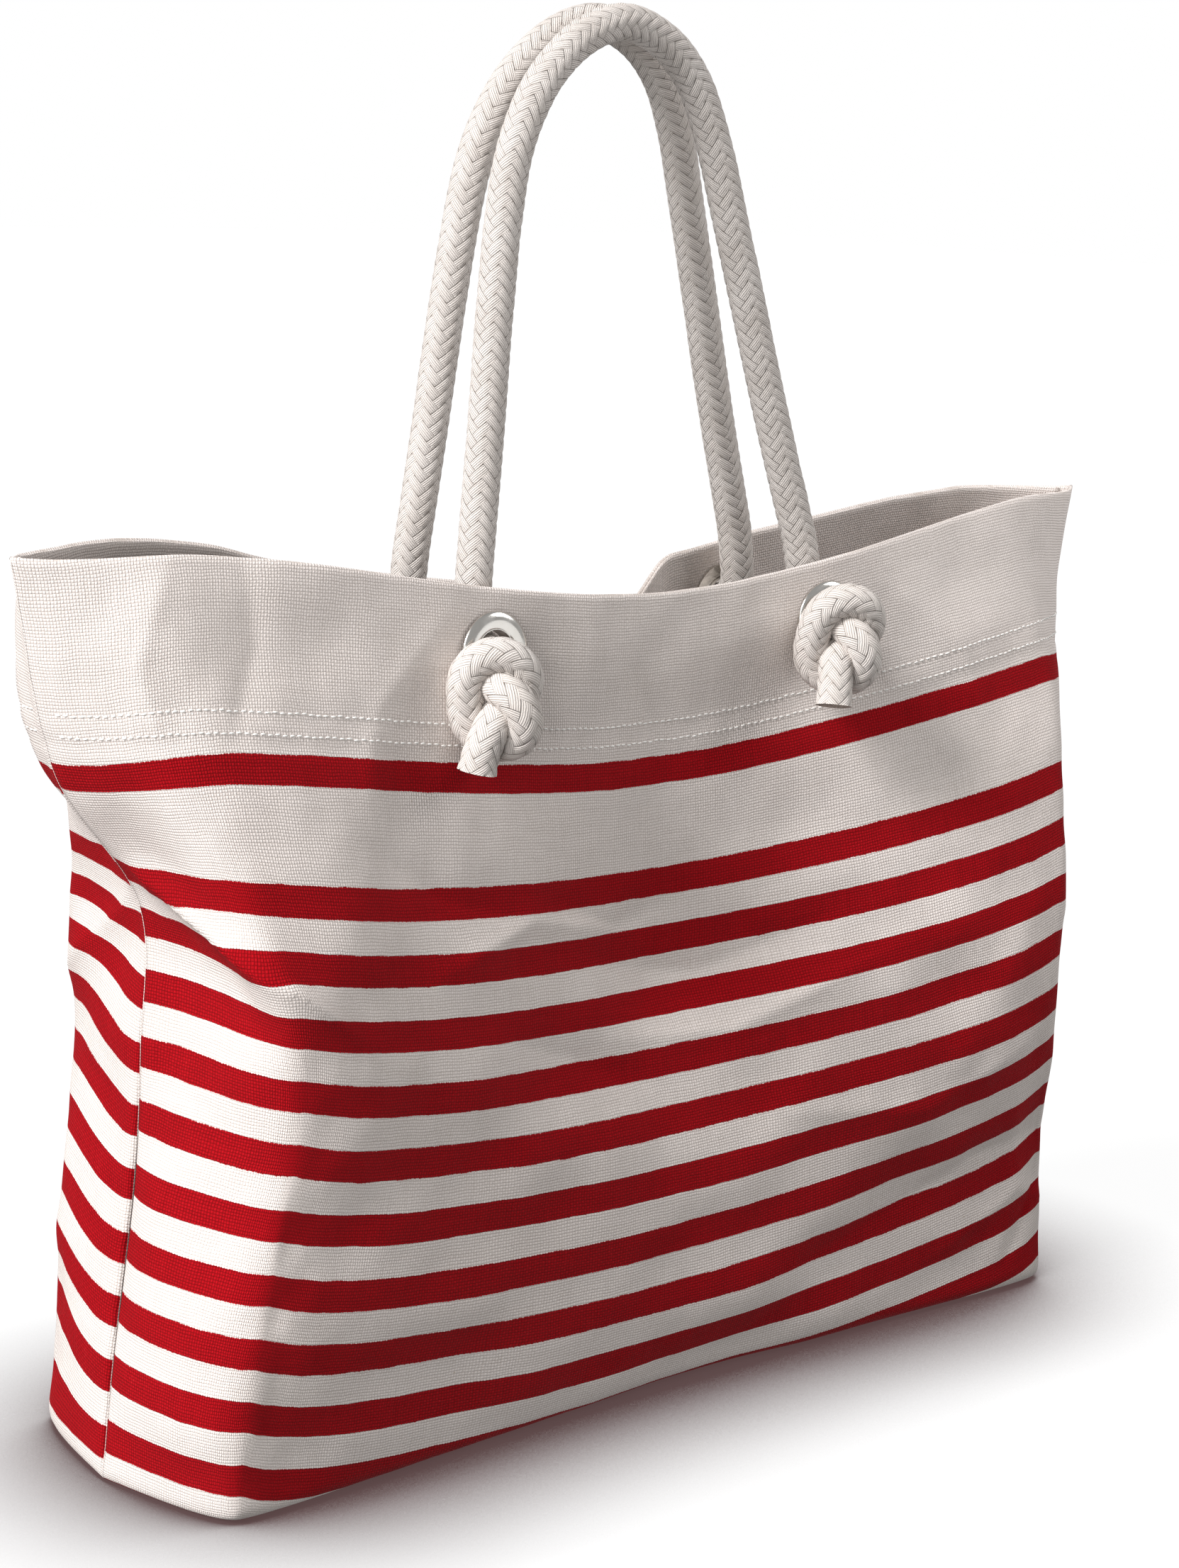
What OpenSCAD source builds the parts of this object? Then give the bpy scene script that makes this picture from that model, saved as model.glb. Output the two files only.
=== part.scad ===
// Canvas beach bag with two rope handles.
// The bag stands on the floor at z = 0, its width along X and its depth along Y.
// The front panel faces -Y. The back half mirrors the front half.

/* [Body] */
// Width of the mouth, from corner to corner
mouth_w = 550; // [500:5:600]
// Height of the mouth corners above the floor
corner_h = 343; // [320:1:370]
// Depth of the base, from its front fold to its back fold
base_d = 124; // [110:1:150]
// Flat width of one panel between its side seams
panel_w = 560; // [540:5:600]
// Thickness of the canvas
canvas_t = 1.5; // [1:0.1:2]
// How much lower the mouth is cut at its middle than at its corners
mouth_dip = 9; // [0:1:15]

/* [Facing and seams] */
// Height of the facing inside the mouth
facing_h = 65; // [46:1:70]
// Thickness of the facing
facing_t = 1.1; // [0.8:0.1:1.6]
// Width of a seam's turned-in edge
seam_w = 10; // [6:1:14]
// Thickness of a seam's turned-in edge
seam_t = 2.4; // [1.6:0.2:3.2]

/* [Eyelets] */
// Distance between the two eyelets of a panel
eyelet_spacing = 172; // [150:2:200]
// Depth of the eyelets' centres below the mouth
eyelet_drop = 25; // [22:1:30]
// Outer diameter of an eyelet
eyelet_d = 33; // [30:0.5:36]
// Diameter of an eyelet's hole
eyelet_bore = 19; // [18:0.5:21]

/* [Handles] */
// Diameter of the rope
rope_d = 14; // [11:0.5:15]
// Height of the handles' tops above the floor, to the middle of the rope
handle_top = 532; // [500:1:560]
// Gap between the two handles where they lean together
handle_gap = 2; // [1:0.5:6]

/* [Hidden] */
$fn = 48;

canvas = [0.93, 0.91, 0.87];
thread = [0.86, 0.82, 0.74];
metal = [0.75, 0.74, 0.71];
rope = [0.9, 0.87, 0.82];
lining = [0.8, 0.74, 0.66];

// Lines up the front panel, each at the same seven levels of the cloth.
// The first is the middle, the second the soft fold at the front corner, the third the side seam.
levels = [0, 0.12, 0.3, 0.45, 0.6, 0.78, 1];
middle_y = [-52, -60, -57, -45, -32, -29, -32];
middle_z = [0, 37, 97, 145, 193, 252, 326];
fold_x = [215, 213, 204, 197, 204, 210, 203];
fold_y = [-62, -61, -68, -72, -64, -45, -24];
fold_z = [0, 44, 106, 159, 211, 273, 347];
seam_x = [234, 230, 222, 220, 221, 257, 275];
seam_z = [0, 45, 109, 162, 215, 267, 343];
// Direction in which the cloth meets the side seam, in degrees from the X axis
seam_turn = [80, 98, 108, 80, 52, 62, 36];
// How softly the cloth turns at the fold
fold_soft = [0.35, 0.4, 0.5, 0.6, 0.8, 1, 1];
// Where the fold lies between the middle of the panel and its side seam
fold_at = 0.72;

x_scale = mouth_w / 550;
y_scale = base_d / 124;
z_scale = corner_h / 343;
quarter = panel_w / 2;
// Half the slit between the two panels at their seams
seam_gap = 0.15;
columns = 28;
wall_rows = 14;
base_rows = 3;
// The bottom seam stops this share short of the base's ends
base_taper = 0.9;

eyelet_x = eyelet_spacing / 2;
eyelet_s = eyelet_x / quarter;
rim_at_eyelet = mouth_level(eyelet_s);
eyelet_level = rim_at_eyelet - eyelet_drop / corner_h;
eyelet_point = wall(eyelet_s, eyelet_level);
eyelet_normal = wall_normal(eyelet_s, eyelet_level);
rim_point = wall(eyelet_s, rim_at_eyelet);
facing_gap = 0.6;
barrel_t = 1;
flange_t = 2.2;
washer_t = 0.8;
washer_in = canvas_t + facing_gap + facing_t + 0.4;

rope_r = rope_d / 2;
// The hinge line of a handle runs along the rim, and the rope stands inside it
hinge_y = rim_point[1] + 1.2;
hinge_z = rim_point[2] + 2;
rope_in = rope_r + 4;
rope_y = hinge_y + rope_in;
hinge_clear = 0.3;
elbow_r = 10;
knot_r = 11.5;
// How far a knot's turn hangs aside of its eyelet, and below it
knot_shift = 12;
knot_drop = 9;
// From the canvas out to the middle of the knot
knot_out = 15;
tail_len = 26;

// Route of a handle from its left foot to its right foot, as [x, share of the height]
handle_route = [[-88, 0], [-82, 0.26], [-77, 0.5], [-72, 0.68], [-66, 0.79], [-54, 0.89], [-36, 0.965], [-15, 1],
    [5, 0.975], [21, 0.91], [32, 0.81], [41, 0.68], [53, 0.5], [69, 0.26], [88, 0]];
route_steps = 3;
rope_sides = 10;

// Cubic through the values of a table at its keys
function slope(keys, values, i) =
    i == 0 ? (values[1] - values[0]) / (keys[1] - keys[0])
    : i == len(keys) - 1 ? (values[i] - values[i - 1]) / (keys[i] - keys[i - 1])
    : (values[i + 1] - values[i - 1]) / (keys[i + 1] - keys[i - 1]);
function hermite(a, slope_a, b, slope_b, t) =
    (2 * pow(t, 3) - 3 * t * t + 1) * a + (pow(t, 3) - 2 * t * t + t) * slope_a
    + (3 * t * t - 2 * pow(t, 3)) * b + (pow(t, 3) - t * t) * slope_b;
function span_of(keys, k, i = 0) = i >= len(keys) - 2 || k < keys[i + 1] ? i : span_of(keys, k, i + 1);
function smooth(keys, values, k) =
    let (i = span_of(keys, k), w = keys[i + 1] - keys[i])
    hermite(values[i], w * slope(keys, values, i), values[i + 1], w * slope(keys, values, i + 1),
        (k - keys[i]) / w);
function unit(v) = v / norm(v);
// Unit vector of v, or straight down where v has no length
function unit_or_down(v) = norm(v) < 1e-6 ? [0, 0, -1] : unit(v);

// Level of the mouth's cut edge at s, which runs from 0 at the middle to 1 at the side seam
function mouth_level(s) = 1 - mouth_dip / corner_h * (1 - s * s);

// Point on the outside of the front panel's right half, at s along the width and at a level
function wall(s, k) =
    let (
        middle = [0, y_scale * smooth(levels, middle_y, k), z_scale * smooth(levels, middle_z, k)],
        fold = [x_scale * smooth(levels, fold_x, k), y_scale * smooth(levels, fold_y, k),
            z_scale * smooth(levels, fold_z, k)],
        seam = [x_scale * smooth(levels, seam_x, k), -seam_gap, z_scale * smooth(levels, seam_z, k)],
        turn = smooth(levels, seam_turn, k),
        across = quarter * unit(seam - middle) * smooth(levels, fold_soft, k)
    )
    s <= fold_at
        ? hermite(middle, fold_at * [quarter, 0, 0], fold, fold_at * across, s / fold_at)
        : hermite(fold, (1 - fold_at) * across, seam,
            (1 - fold_at) * quarter * [cos(turn), sin(turn), 0], (s - fold_at) / (1 - fold_at));
function wall_normal(s, k) =
    unit(cross(wall(s + 0.01, k) - wall(s - 0.01, k), wall(s, k + 0.01) - wall(s, k - 0.01)));

// The same over the whole width, for u from -1 at the left seam to 1 at the right seam
function panel_point(u, k) = let (p = wall(abs(u), k)) [u < 0 ? -p[0] : p[0], min(p[1], -seam_gap), max(p[2], 0)];
// Half of the base, for b from 0 at the bottom seam to 1 at the front fold
function base_point(u, b) =
    let (p = panel_point(u, 0))
    [p[0] * (base_taper + (1 - base_taper) * b), -seam_gap + (p[1] + seam_gap) * b, 0];

function panel_row(row) = [for (c = [0:columns])
    let (u = 2 * c / columns - 1)
    row < base_rows
        ? base_point(u, row / base_rows)
        : panel_point(u, mouth_level(abs(u)) * (row - base_rows) / wall_rows)];
panel_grid = [for (row = [0:base_rows + wall_rows]) panel_row(row)];

// Grid of the cloth's band between two depths below the mouth, short of the seams by edge
function band_grid(depths, edge) = [for (d = depths) [for (c = [0:columns])
    let (u = (2 * c / columns - 1) * (1 - edge))
    panel_point(u, mouth_level(abs(u)) - d / corner_h)]];

function grid_normal(g, i, j) =
    let (
        i0 = max(i - 1, 0), i1 = min(i + 1, len(g) - 1),
        j0 = max(j - 1, 0), j1 = min(j + 1, len(g[0]) - 1)
    )
    unit_or_down(cross(g[i][j1] - g[i][j0], g[i1][j] - g[i0][j]));
// The grid moved inward by a depth, kept on its own side of the seam plane and above the floor
function inset(g, depth, floor_z) = [for (i = [0:len(g) - 1]) [for (j = [0:len(g[0]) - 1])
    let (p = g[i][j] - depth * grid_normal(g, i, j))
    [p[0], min(p[1], -seam_gap), max(p[2], floor_z)]]];

// Two triangles of a quad, cut from a to c, or from b to d where the cut is swapped
function quad(a, b, c, d, swap) = swap ? [[a, b, d], [b, c, d]] : [[a, b, c], [a, c, d]];

// Closed sheet between two grids of the same size
module sheet(outer, inner) {
    last_row = len(outer) - 1;
    last_col = len(outer[0]) - 1;
    half = (last_row + 1) * (last_col + 1);
    function at(i, j, side) = side * half + i * (last_col + 1) + j;
    points = [for (g = [outer, inner]) for (line = g) for (p = line) p];
    faces = concat(
        [for (i = [0:last_row - 1], j = [0:last_col - 1])
            let (swap = j >= last_col / 2)
            each concat(
                quad(at(i, j, 0), at(i + 1, j, 0), at(i + 1, j + 1, 0), at(i, j + 1, 0), swap),
                quad(at(i, j + 1, 1), at(i + 1, j + 1, 1), at(i + 1, j, 1), at(i, j, 1), !swap))],
        [for (j = [0:last_col - 1]) each concat(
            quad(at(0, j, 0), at(0, j + 1, 0), at(0, j + 1, 1), at(0, j, 1), false),
            quad(at(last_row, j, 0), at(last_row, j, 1), at(last_row, j + 1, 1), at(last_row, j + 1, 0), true))],
        [for (i = [0:last_row - 1]) each concat(
            quad(at(i, 0, 0), at(i, 0, 1), at(i + 1, 0, 1), at(i + 1, 0, 0), false),
            quad(at(i, last_col, 0), at(i + 1, last_col, 0), at(i + 1, last_col, 1), at(i, last_col, 1), true))]);
    polyhedron(points, faces, convexity = 6);
}

// Tube of rings about a list of points
module sweep(path, ring) {
    n = len(path);
    sides = len(ring);
    function along(i) = unit(path[min(i + 1, n - 1)] - path[max(i - 1, 0)]);
    function frame_x(i) = unit(cross([0, 1, 0], along(i)));
    function frame_y(i) = cross(along(i), frame_x(i));
    points = [for (i = [0:n - 1]) for (q = ring) path[i] + q[0] * frame_x(i) + q[1] * frame_y(i)];
    faces = concat(
        [[for (q = [0:sides - 1]) q]],
        [for (i = [0:n - 2], q = [0:sides - 1])
            let (r = (q + 1) % sides)
            each [[i * sides + q, (i + 1) * sides + q, (i + 1) * sides + r],
                [i * sides + q, (i + 1) * sides + r, i * sides + r]]],
        [[for (q = [sides - 1:-1:0]) (n - 1) * sides + q]]);
    polyhedron(points, faces, convexity = 4);
}

module back() mirror([0, 1, 0]) children();
module right() mirror([1, 0, 0]) children();

// Turns a part built along +Z to face out of the front panel at its left eyelet
module at_eyelet()
    translate([-eyelet_point[0], eyelet_point[1], eyelet_point[2]])
    rotate([0, 0, atan2(-eyelet_normal[0], -eyelet_normal[1])])
    rotate([90 - asin(eyelet_normal[2]), 0, 0])
    children();

module panel() color(canvas) difference() {
    sheet(panel_grid, inset(panel_grid, canvas_t, canvas_t));
    for (side = [0, 1]) mirror([side, 0, 0]) at_eyelet()
        translate([0, 0, -12]) cylinder(d = eyelet_bore + 2 * barrel_t, h = 24);
}

module facing() color(lining) difference() {
    band = band_grid([facing_h, facing_h * 0.75, facing_h * 0.5, facing_h * 0.25, 0.5], 0.03);
    sheet(inset(band, canvas_t + facing_gap, 0), inset(band, canvas_t + facing_gap + facing_t, 0));
    for (side = [0, 1]) mirror([side, 0, 0]) at_eyelet()
        translate([0, 0, -14]) cylinder(d = eyelet_bore + 2 * barrel_t, h = 28);
}

// Two rows of thread outside the lower edge of the facing
module stitching() color(thread)
    for (depth = [facing_h - 3, facing_h - 11]) {
        row = band_grid([depth + 0.6, depth], 0.02);
        sheet(inset(row, -0.8, 0), inset(row, -0.4, 0));
    }

module side_seam() {
    path = [for (i = [1:18])
        let (p = panel_point(1, i / 18 * 0.99))
        p + [-seam_w / 2 - 2 * canvas_t - 1.5, seam_gap, i == 1 ? 3 : 0]];
    color(lining) sweep(path, [[-seam_w / 2, -seam_t / 2], [seam_w / 2, -seam_t / 2],
        [seam_w / 2, seam_t / 2], [-seam_w / 2, seam_t / 2]]);
}

module bottom_seam() color(lining)
    translate([0, 0, canvas_t + 0.2 + seam_t / 2])
    cube([2 * base_taper * x_scale * seam_x[0] - 16, seam_w, seam_t], center = true);

// The seam across the right end of the base, which squares the bottom
module corner_seam() {
    count = 8;
    end = [for (i = [-count:count])
        let (p = panel_point(1 - abs(i) / count * 0.24, 0))
        [p[0] - 6, (i < 0 ? 1 : -1) * p[1] * 0.96]];
    outline = concat([for (p = end) p], [for (i = [2 * count:-1:0]) end[i] - [seam_t, 0]]);
    color(lining) translate([0, 0, canvas_t + 0.3]) linear_extrude(seam_w - 3) polygon(outline);
}

// Barrel and rolled flange, set from outside
module eyelet() {
    inner = eyelet_bore / 2;
    outer = eyelet_d / 2;
    color(metal) rotate_extrude() union() {
        translate([inner, -washer_in - washer_t - 0.6]) square([barrel_t, washer_in + washer_t + 1.4]);
        intersection() {
            translate([(inner + outer) / 2, 0.1]) scale([1, 0.55]) circle(r = (outer - inner) / 2, $fn = 32);
            translate([inner, 0.1]) square([outer - inner, flange_t]);
        }
    }
}

// Ring that the barrel is rolled over, inside the facing
module washer() color(metal)
    rotate_extrude() {
        translate([eyelet_bore / 2 + barrel_t + 0.1, -washer_in - washer_t])
            square([(eyelet_d - eyelet_bore) / 2 - barrel_t - 0.6, washer_t]);
    }

// Knotted end of the rope at the left eyelet, from the tail up to the hinge line
module knot(shift) {
    x_neck = -eyelet_point[0];
    y_knot = eyelet_point[1] - knot_out;
    z_neck = eyelet_point[2];
    color(rope) union() {
        // Riser inside the panel
        translate([x_neck, rope_y, z_neck + elbow_r])
            cylinder(r = rope_r, h = hinge_z - hinge_clear - z_neck - elbow_r);
        // Elbow from the eyelet to the riser
        translate([x_neck, rope_y - elbow_r, z_neck + elbow_r])
            rotate([0, 90, 0]) rotate_extrude(angle = 90) translate([elbow_r, 0]) circle(r = rope_r);
        // Neck through the eyelet
        translate([x_neck, rope_y - elbow_r, z_neck])
            rotate([90, 0, 0]) cylinder(r = rope_r, h = rope_y - elbow_r - y_knot);
        // Body of the knot: one turn of rope about a core
        translate([x_neck + shift, y_knot, z_neck - knot_drop]) {
            rotate([90, 0, 0]) rotate_extrude() translate([knot_r, 0]) circle(r = rope_r);
            sphere(r = knot_r - 0.5);
            // Tail
            rotate([0, 12, 0]) translate([0, -3, -knot_r - tail_len + 6]) cylinder(r = rope_r, h = tail_len);
        }
    }
}

// Standing loop of the front handle, leaning in from the hinge line
module handle() {
    top_y = -(rope_r + handle_gap / 2);
    foot_z = hinge_z - rope_r;
    spots = [for (i = [0:len(handle_route) - 1]) i];
    xs = [for (p = handle_route) p[0] * eyelet_point[0] / 88];
    shares = [for (p = handle_route) p[1]];
    path = [for (i = [0:(len(spots) - 1) * route_steps])
        let (k = i / route_steps, share = smooth(spots, shares, k))
        [smooth(spots, xs, k), rope_y + (top_y - rope_y) * share, foot_z + (handle_top - foot_z) * share]];
    ring = [for (a = [0:rope_sides - 1]) rope_r * [cos(a * 360 / rope_sides), sin(a * 360 / rope_sides)]];
    color(rope) difference() {
        sweep(path, ring);
        // The feet end level, just above the knots' risers
        translate([-mouth_w / 2, -base_d / 2, hinge_z + hinge_clear - 4 * rope_r])
            cube([mouth_w, base_d, 4 * rope_r]);
    }
}

panel();  // front_panel
back() panel();  // back_panel
facing();  // front_facing
back() facing();  // back_facing
stitching();  // front_stitching
back() stitching();  // back_stitching
right() side_seam();  // left_side_seam
side_seam();  // right_side_seam
bottom_seam();
right() corner_seam();  // left_corner_seam
corner_seam();  // right_corner_seam
at_eyelet() eyelet();  // front_left_eyelet
right() at_eyelet() eyelet();  // front_right_eyelet
back() at_eyelet() eyelet();  // back_left_eyelet
back() right() at_eyelet() eyelet();  // back_right_eyelet
at_eyelet() washer();  // front_left_washer
right() at_eyelet() washer();  // front_right_washer
back() at_eyelet() washer();  // back_left_washer
back() right() at_eyelet() washer();  // back_right_washer
knot(-knot_shift);  // front_left_knot
right() knot(knot_shift);  // front_right_knot
back() knot(-knot_shift);  // back_left_knot
back() right() knot(-knot_shift);  // back_right_knot
handle();  // front_handle
back() handle();  // back_handle
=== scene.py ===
"""The looks of a canvas beach bag with two rope handles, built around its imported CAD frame.

Shapes are worked out in millimetres and made in metres. Materials, lights and the camera are in metres.
The canvas follows the same lines as the CAD panels, on a finer grid.
"""
import math

import bpy
import numpy as np
from mathutils import Matrix, Vector


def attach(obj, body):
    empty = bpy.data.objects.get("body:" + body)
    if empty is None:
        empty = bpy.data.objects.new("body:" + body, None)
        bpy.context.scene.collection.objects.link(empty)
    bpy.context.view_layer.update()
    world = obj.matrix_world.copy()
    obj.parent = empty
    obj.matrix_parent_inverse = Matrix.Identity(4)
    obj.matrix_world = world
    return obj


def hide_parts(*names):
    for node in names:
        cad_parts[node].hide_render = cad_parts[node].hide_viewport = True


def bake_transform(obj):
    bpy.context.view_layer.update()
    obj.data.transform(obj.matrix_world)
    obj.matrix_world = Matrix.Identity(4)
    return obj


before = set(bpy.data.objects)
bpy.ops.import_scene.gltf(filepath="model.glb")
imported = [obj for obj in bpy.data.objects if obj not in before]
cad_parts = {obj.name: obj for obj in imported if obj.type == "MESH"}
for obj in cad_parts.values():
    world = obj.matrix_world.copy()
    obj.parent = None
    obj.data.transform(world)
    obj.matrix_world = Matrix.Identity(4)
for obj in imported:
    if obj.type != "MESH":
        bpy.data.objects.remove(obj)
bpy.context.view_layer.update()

MM = 0.001

# ---------------------------------------------------------------- camera

# The photograph's focal length, and its width and height, in its own pixels
FOCAL = 4592
PICTURE = (1663, 2212)
AZIMUTH, ELEVATION, ROLL = math.radians(-41.88), math.radians(11.77), math.radians(2.444)
DISTANCE = 1.293
TARGET = Vector((-0.00773, 0, 0.237))


def make_camera():
    towards = Vector((math.sin(AZIMUTH) * math.cos(ELEVATION),
                      -math.cos(AZIMUTH) * math.cos(ELEVATION), math.sin(ELEVATION)))
    right = (-towards).cross(Vector((0, 0, 1))).normalized()
    up = right.cross(-towards)
    rolled_right = right * math.cos(ROLL) + up * math.sin(ROLL)
    rolled_up = up * math.cos(ROLL) - right * math.sin(ROLL)
    data = bpy.data.cameras.new("camera")
    data.sensor_width = 36
    data.lens = FOCAL / max(PICTURE) * data.sensor_width
    camera = bpy.data.objects.new("camera", data)
    turn = Matrix((rolled_right, rolled_up, towards)).transposed().to_4x4()
    camera.matrix_world = Matrix.Translation(TARGET + DISTANCE * towards) @ turn
    bpy.context.scene.collection.objects.link(camera)
    bpy.context.scene.camera = camera


# ---------------------------------------------------------------- lines of the canvas, as in CAD

# The tables give a value at each level, from the fold at the base to the mouth's edge
LEVELS = [0, 0.12, 0.3, 0.45, 0.6, 0.78, 1]
MIDDLE_Y = [-52, -60, -57, -45, -32, -29, -32]
MIDDLE_Z = [0, 37, 97, 145, 193, 252, 326]
FOLD_X = [215, 213, 204, 197, 204, 210, 203]
FOLD_Y = [-62, -61, -68, -72, -64, -45, -24]
FOLD_Z = [0, 44, 106, 159, 211, 273, 347]
SEAM_X = [234, 230, 222, 220, 221, 257, 275]
SEAM_Z = [0, 45, 109, 162, 215, 267, 343]
SEAM_TURN = [80, 98, 108, 80, 52, 62, 36]
FOLD_SOFT = [0.35, 0.4, 0.5, 0.6, 0.8, 1, 1]
FOLD_AT = 0.72
QUARTER = 280
SEAM_GAP = 0.15
MOUTH_DIP = 9
CORNER_H = 343
BASE_TAPER = 0.9
HIDDEN_H = 20
FLOOR_GAP = 0.05
CANVAS_T = 1.5
FACING_H = 65
FACING_T = 1.1
FACING_GAP = 0.15
CLOTH_H = 355

EYELET_POINT = (87.94, -33.81, 300.44)
HOLE_R = 11.2
HINGE_Y, HINGE_Z = -30.75, 326.93
ROPE_D = 14
ROPE_R = ROPE_D / 2
ROPE_Y = HINGE_Y + ROPE_R + 4
HANDLE_TOP = 532
HANDLE_GAP = 2


def hermite(a, slope_a, b, slope_b, t):
    return ((2 * t ** 3 - 3 * t ** 2 + 1) * a + (t ** 3 - 2 * t ** 2 + t) * slope_a
            + (3 * t ** 2 - 2 * t ** 3) * b + (t ** 3 - t ** 2) * slope_b)


def smooth(keys, values, k):
    """Cubic through the values at the keys, at each k."""
    keys, values = np.asarray(keys, float), np.asarray(values, float)
    slopes = np.empty(len(keys))
    slopes[1:-1] = (values[2:] - values[:-2]) / (keys[2:] - keys[:-2])
    slopes[0] = (values[1] - values[0]) / (keys[1] - keys[0])
    slopes[-1] = (values[-1] - values[-2]) / (keys[-1] - keys[-2])
    i = np.clip(np.searchsorted(keys, k, side="right") - 1, 0, len(keys) - 2)
    w = keys[i + 1] - keys[i]
    return hermite(values[i], w * slopes[i], values[i + 1], w * slopes[i + 1], (k - keys[i]) / w)


def level_line(table, k):
    return smooth(LEVELS, table, k)


def mouth_level(s):
    return 1 - MOUTH_DIP / CORNER_H * (1 - s * s)


def wall(s, k):
    """Points on the outside of the front panel's right half, in mm."""
    zero = np.zeros_like(k)
    middle = np.stack([zero, level_line(MIDDLE_Y, k), level_line(MIDDLE_Z, k)], -1)
    fold = np.stack([level_line(FOLD_X, k), level_line(FOLD_Y, k), level_line(FOLD_Z, k)], -1)
    seam = np.stack([level_line(SEAM_X, k), zero - SEAM_GAP, level_line(SEAM_Z, k)], -1)
    turn = np.radians(level_line(SEAM_TURN, k))
    across = seam - middle
    across *= (QUARTER * level_line(FOLD_SOFT, k) / np.linalg.norm(across, axis=-1))[..., None]
    s = s[..., None]
    start = np.array([FOLD_AT * QUARTER, 0, 0]) * np.ones_like(middle)
    end = (1 - FOLD_AT) * QUARTER * np.stack([np.cos(turn), np.sin(turn), zero], -1)
    front = hermite(middle, start, fold, FOLD_AT * across, s / FOLD_AT)
    side = hermite(fold, (1 - FOLD_AT) * across, seam, end, (s - FOLD_AT) / (1 - FOLD_AT))
    return np.where(s <= FOLD_AT, front, side)


def panel_point(u, k):
    """The same over the whole width, for u from -1 at the left seam to 1 at the right seam."""
    p = wall(np.abs(u), k)
    p[..., 0] *= np.where(u < 0, -1, 1)
    p[..., 1] = np.minimum(p[..., 1], -SEAM_GAP)
    p[..., 2] = np.maximum(p[..., 2], 0)
    return p


def hidden_height(u):
    """How much printed cloth turns under the base at u, in mm: most at the middle."""
    return HIDDEN_H * np.clip(1 - (u / FOLD_AT) ** 2, 0, 1)


# ---------------------------------------------------------------- small tools

def ease(t):
    """Eases from 0 to 1 as t goes from 0 to 1, and stays there outside."""
    t = np.clip(t, 0, 1)
    return t * t * (3 - 2 * t)


def lattice_noise(x, y, seed):
    """Smooth noise from -1 to 1 on a unit lattice."""
    table = np.random.default_rng(seed).uniform(-1, 1, (64, 64))
    x0, y0 = np.floor(x).astype(int), np.floor(y).astype(int)
    fx, fy = x - x0, y - y0
    fx, fy = fx * fx * (3 - 2 * fx), fy * fy * (3 - 2 * fy)

    def at(i, j):
        return table[(x0 + i) % 64, (y0 + j) % 64]

    low = at(0, 0) * (1 - fx) + at(1, 0) * fx
    high = at(0, 1) * (1 - fx) + at(1, 1) * fx
    return low * (1 - fy) + high * fy


def grid_normals(p):
    along = np.gradient(p, axis=1)
    up = np.gradient(p, axis=0)
    n = np.cross(along, up)
    return n / np.maximum(np.linalg.norm(n, axis=-1), 1e-9)[..., None]


def polyline_distance(x, y, points):
    """Distance of each (x, y) from a line of points, and how far along it the nearest point is, 0 to 1."""
    best = np.full(x.shape, np.inf)
    along = np.zeros(x.shape)
    points = np.asarray(points, float)
    lengths = np.linalg.norm(np.diff(points, axis=0), axis=1)
    total, done = lengths.sum(), 0
    for a, b, length in zip(points[:-1], points[1:], lengths):
        d = b - a
        t = np.clip(((x - a[0]) * d[0] + (y - a[1]) * d[1]) / (length * length), 0, 1)
        far = np.hypot(x - a[0] - t * d[0], y - a[1] - t * d[1])
        nearer = far < best
        best = np.where(nearer, far, best)
        along = np.where(nearer, (done + t * length) / total, along)
        done += length
    return best, along


def new_mesh(name, points, faces, smooth_shade=True):
    mesh = bpy.data.meshes.new(name)
    mesh.from_pydata((np.asarray(points) * MM).tolist(), [], faces)
    mesh.validate()
    mesh.update()
    if smooth_shade:
        mesh.polygons.foreach_set("use_smooth", [True] * len(mesh.polygons))
    piece = bpy.data.objects.new(name, mesh)
    bpy.context.scene.collection.objects.link(piece)
    return piece


def write_uv(piece, name, uv):
    """A UV map from one (u, v) per vertex."""
    mesh = piece.data
    layer = mesh.uv_layers.new(name=name)
    loops = np.empty(len(mesh.loops), int)
    mesh.loops.foreach_get("vertex_index", loops)
    layer.data.foreach_set("uv", np.asarray(uv, float)[loops].ravel())


# ---------------------------------------------------------------- materials

def shader(name, **values):
    """A material and its Principled shader, with values set on the shader's own sockets."""
    material = bpy.data.materials.new(name)
    material.use_nodes = True
    nodes = material.node_tree.nodes
    principled = nodes["Principled BSDF"]
    for key, value in values.items():
        principled.inputs[key.replace("_", " ")].default_value = value
    return material, Graph(material.node_tree), principled


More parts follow.
